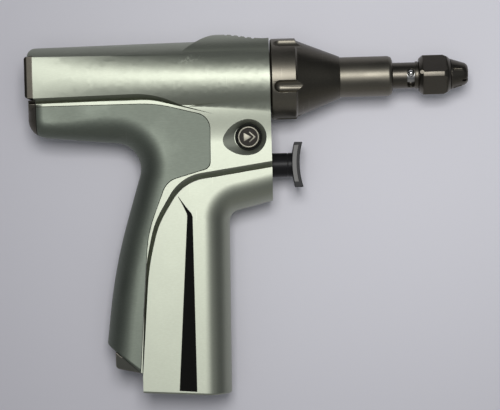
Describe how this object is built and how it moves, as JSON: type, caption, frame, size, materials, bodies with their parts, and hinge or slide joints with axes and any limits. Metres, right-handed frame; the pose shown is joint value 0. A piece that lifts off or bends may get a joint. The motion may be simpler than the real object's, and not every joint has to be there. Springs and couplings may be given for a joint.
{
  "type": "surgical reciprocating saw",
  "caption": "Pistol-grip surgical reciprocating saw handpiece with fluted nose cone, quick-release blade collet, sliding trigger, mode button and open battery bay.",
  "frame": {"origin": "mouth of the blade socket on the drive axis", "axes": "+X forward along the drive axis out of the blade socket, +Y the top of the barrel away from the grip, +Z out of the right flank; the saw lies on its left flank"},
  "size_m": [0.2202, 0.179, 0.0404],
  "materials": {
    "housing_satin": "satin, fine brushed",
    "shell_matte": "bead blasted, matte",
    "grip_satin": "satin, fine brushed",
    "chassis_cast": "as cast",
    "cap_titanium": "dark titanium finish",
    "nose_dark": "dark titanium finish",
    "collet_dark": "dark titanium finish",
    "polished_pin": "polished",
    "steel": "machined",
    "winding_copper": "varnished copper",
    "magnet": "ground",
    "bush_bronze": "sintered bronze",
    "trigger_black": "black",
    "button_satin": "satin with a dark recess",
    "board_green": "solder mask",
    "contact_block": "black",
    "contact_gold": "gold plated",
    "seal_rubber": "matt black",
    "inlay_grey": "grey"
  },
  "bodies": {
    "housing": {"main_housing": "housing_satin", "rear_shell": "shell_matte", "front_grip": "grip_satin", "handle_chassis": "chassis_cast", "battery_receiver": "cap_titanium", "rear_cap_upper": "cap_titanium", "rear_cap_lower": "cap_titanium", "nose_cone": "nose_dark", "nose_tube": "nose_dark", "motor_can": "steel", "motor_windings": "winding_copper", "motor_bearing_rear": "steel", "motor_bearing_front": "steel", "ring_gear": "steel", "drive_bearing": "steel", "plunger_bush_rear": "bush_bronze", "plunger_bush_front": "bush_bronze", "rod_seal": "seal_rubber", "trigger_bush": "bush_bronze", "controller_board": "board_green", "battery_contacts": "contact_block", "contact_blade_1": "contact_gold", "contact_blade_2": "contact_gold", "contact_blade_3": "contact_gold", "contact_blade_4": "contact_gold"},
    "rotor": {"rotor_shaft": "steel", "rotor_magnet": "magnet"},
    "cam_shaft": {"carrier": "steel", "cam_drum": "steel"},
    "planet_gear_1": {"planet_1": "steel"},
    "planet_gear_2": {"planet_2": "steel"},
    "planet_gear_3": {"planet_3": "steel"},
    "plunger_unit": {"plunger": "steel", "cam_follower": "steel", "collet_tip": "collet_dark", "detent_pin": "polished_pin"},
    "collet": {"collet_sleeve": "collet_dark", "collet_knob": "collet_dark"},
    "trigger": {"trigger_stem": "trigger_black", "trigger_pad": "trigger_black", "pad_inlay_right": "inlay_grey", "pad_inlay_left": "inlay_grey"},
    "mode_selector": {"mode_bolt": "steel", "mode_button_right": "button_satin", "mode_button_left": "button_satin"}
  },
  "joints": [
    {"name": "motor_spin", "type": "hinge", "parent": "housing", "child": "rotor", "pos_m": [-0.187, 0, 0], "axis": [1, 0, 0], "continuous": true},
    {"name": "carrier_spin", "type": "hinge", "parent": "housing", "child": "cam_shaft", "pos_m": [-0.139, 0, 0], "axis": [1, 0, 0], "continuous": true},
    {"name": "planet_1_spin", "type": "hinge", "parent": "cam_shaft", "child": "planet_gear_1", "pos_m": [-0.1555, 0.0072, 0], "axis": [1, 0, 0], "continuous": true},
    {"name": "planet_2_spin", "type": "hinge", "parent": "cam_shaft", "child": "planet_gear_2", "pos_m": [-0.1555, -0.0036, 0.00624], "axis": [1, 0, 0], "continuous": true},
    {"name": "planet_3_spin", "type": "hinge", "parent": "cam_shaft", "child": "planet_gear_3", "pos_m": [-0.1555, -0.0036, -0.00624], "axis": [1, 0, 0], "continuous": true},
    {"name": "plunger_slide", "type": "slide", "parent": "housing", "child": "plunger_unit", "axis": [1, 0, 0], "range_m": [-0.0016, 0.0016]},
    {"name": "collet_turn", "type": "hinge", "parent": "plunger_unit", "child": "collet", "pos_m": [-0.024, 0, 0], "axis": [1, 0, 0], "range_deg": [-56, 0], "stiffness_Nm_per_rad": 0.05, "springref_deg": 8.59},
    {"name": "trigger_slide", "type": "slide", "parent": "housing", "child": "trigger", "axis": [-1, 0, 0], "range_m": [0, 0.007], "stiffness_N_per_m": 400, "springref_m": -0.003},
    {"name": "mode_slide", "type": "slide", "parent": "housing", "child": "mode_selector", "axis": [0, 0, -1], "range_m": [0, 0.0035]}
  ],
  "couplings": [
    {"joint": "carrier_spin", "follows": "motor_spin", "ratio": 0.25},
    {"joint": "planet_1_spin", "follows": "motor_spin", "ratio": -0.75},
    {"joint": "planet_2_spin", "follows": "motor_spin", "ratio": -0.75},
    {"joint": "planet_3_spin", "follows": "motor_spin", "ratio": -0.75}
  ]
}
